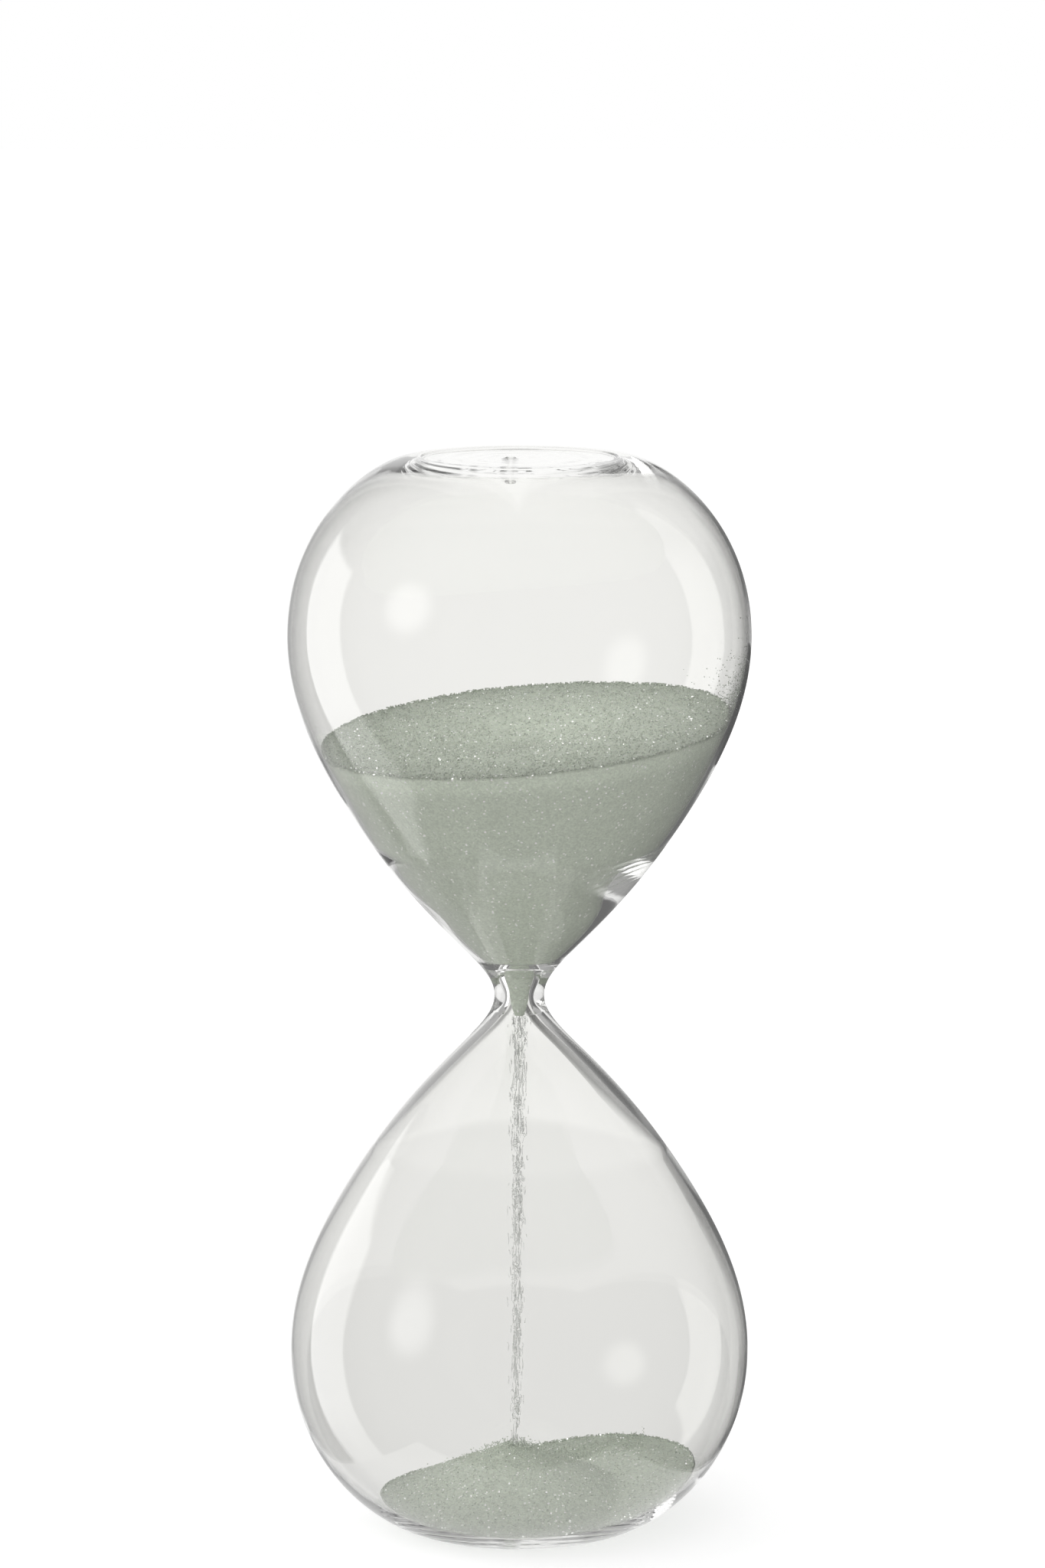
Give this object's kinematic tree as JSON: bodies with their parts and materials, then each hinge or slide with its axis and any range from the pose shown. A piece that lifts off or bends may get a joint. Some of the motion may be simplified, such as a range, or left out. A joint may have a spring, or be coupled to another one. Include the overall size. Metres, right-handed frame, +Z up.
{
  "type": "hourglass",
  "caption": "Frameless blown-glass hourglass with fine pale green sand running from the upper bulb to the lower one.",
  "frame": {"origin": "centre of the ring that the lower end rests on", "axes": "+Z up along the glass axis; +X to the right and +Y away, seen from the front, where the sand banks higher on the right"},
  "size_m": [0.1066, 0.1066, 0.25],
  "materials": {
    "glass": "clear fire-polished borosilicate",
    "sand": "fine pale sage green glass beads with a slight sparkle"
  },
  "bodies": {
    "root": {"upper_bulb": "glass", "throat": "glass", "lower_bulb": "glass", "upper_seal_pip": "glass", "lower_seal_pip": "glass", "upper_sand": "sand", "throat_sand": "sand", "sand_stream": "sand", "lower_sand": "sand", "wall_grains": "sand", "splash_grains": "sand"}
  },
  "joints": []
}
